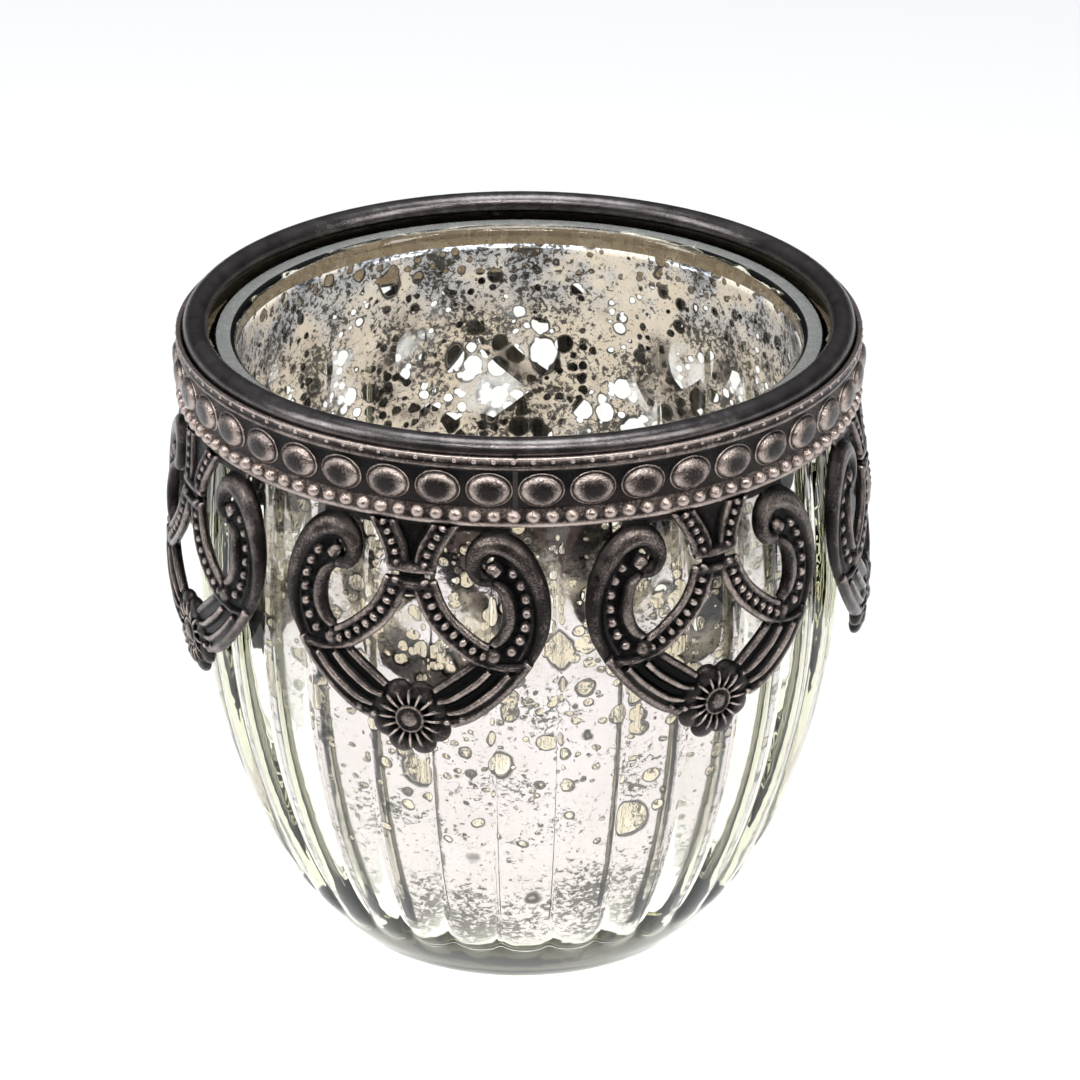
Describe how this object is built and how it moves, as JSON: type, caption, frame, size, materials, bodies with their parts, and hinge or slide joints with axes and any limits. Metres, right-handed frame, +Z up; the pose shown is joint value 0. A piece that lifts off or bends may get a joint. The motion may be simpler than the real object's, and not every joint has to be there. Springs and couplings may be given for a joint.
{
  "type": "tealight holder",
  "caption": "Round tealight cup of fluted, speckle-silvered glass with a beaded metal rim and an embossed collar with openwork scroll pendants.",
  "frame": {"origin": "centre of the flat base, on the surface that the cup stands on", "axes": "+Z up along the cup's axis; -Y through the middle of pendant_1; +X to the right of it"},
  "size_m": [0.075, 0.0749, 0.0685],
  "materials": {
    "glass": "clear pressed glass with a faint green-yellow tint, polished",
    "silvering": "speckled antiqued silver coat with clear spots and black pepper specks",
    "rim_metal": "gunmetal plated brass, satin, rubbed bright on the crest of the bead",
    "collar_metal": "antiqued dark brown stamping with rubbed warm grey high spots",
    "solder": "darkened tin solder, dull",
    "glue": "clear yellowish glue"
  },
  "bodies": {
    "root": {"glass_cup": "glass", "silvering": "silvering", "rim_glue": "glue", "rim_ring": "rim_metal", "rim_joint": "solder", "collar_band": "collar_metal", "band_joint": "solder", "pendant_1": "collar_metal", "pendant_2": "collar_metal", "pendant_3": "collar_metal", "pendant_4": "collar_metal", "pendant_5": "collar_metal", "pendant_6": "collar_metal", "pendant_7": "collar_metal"}
  },
  "joints": []
}
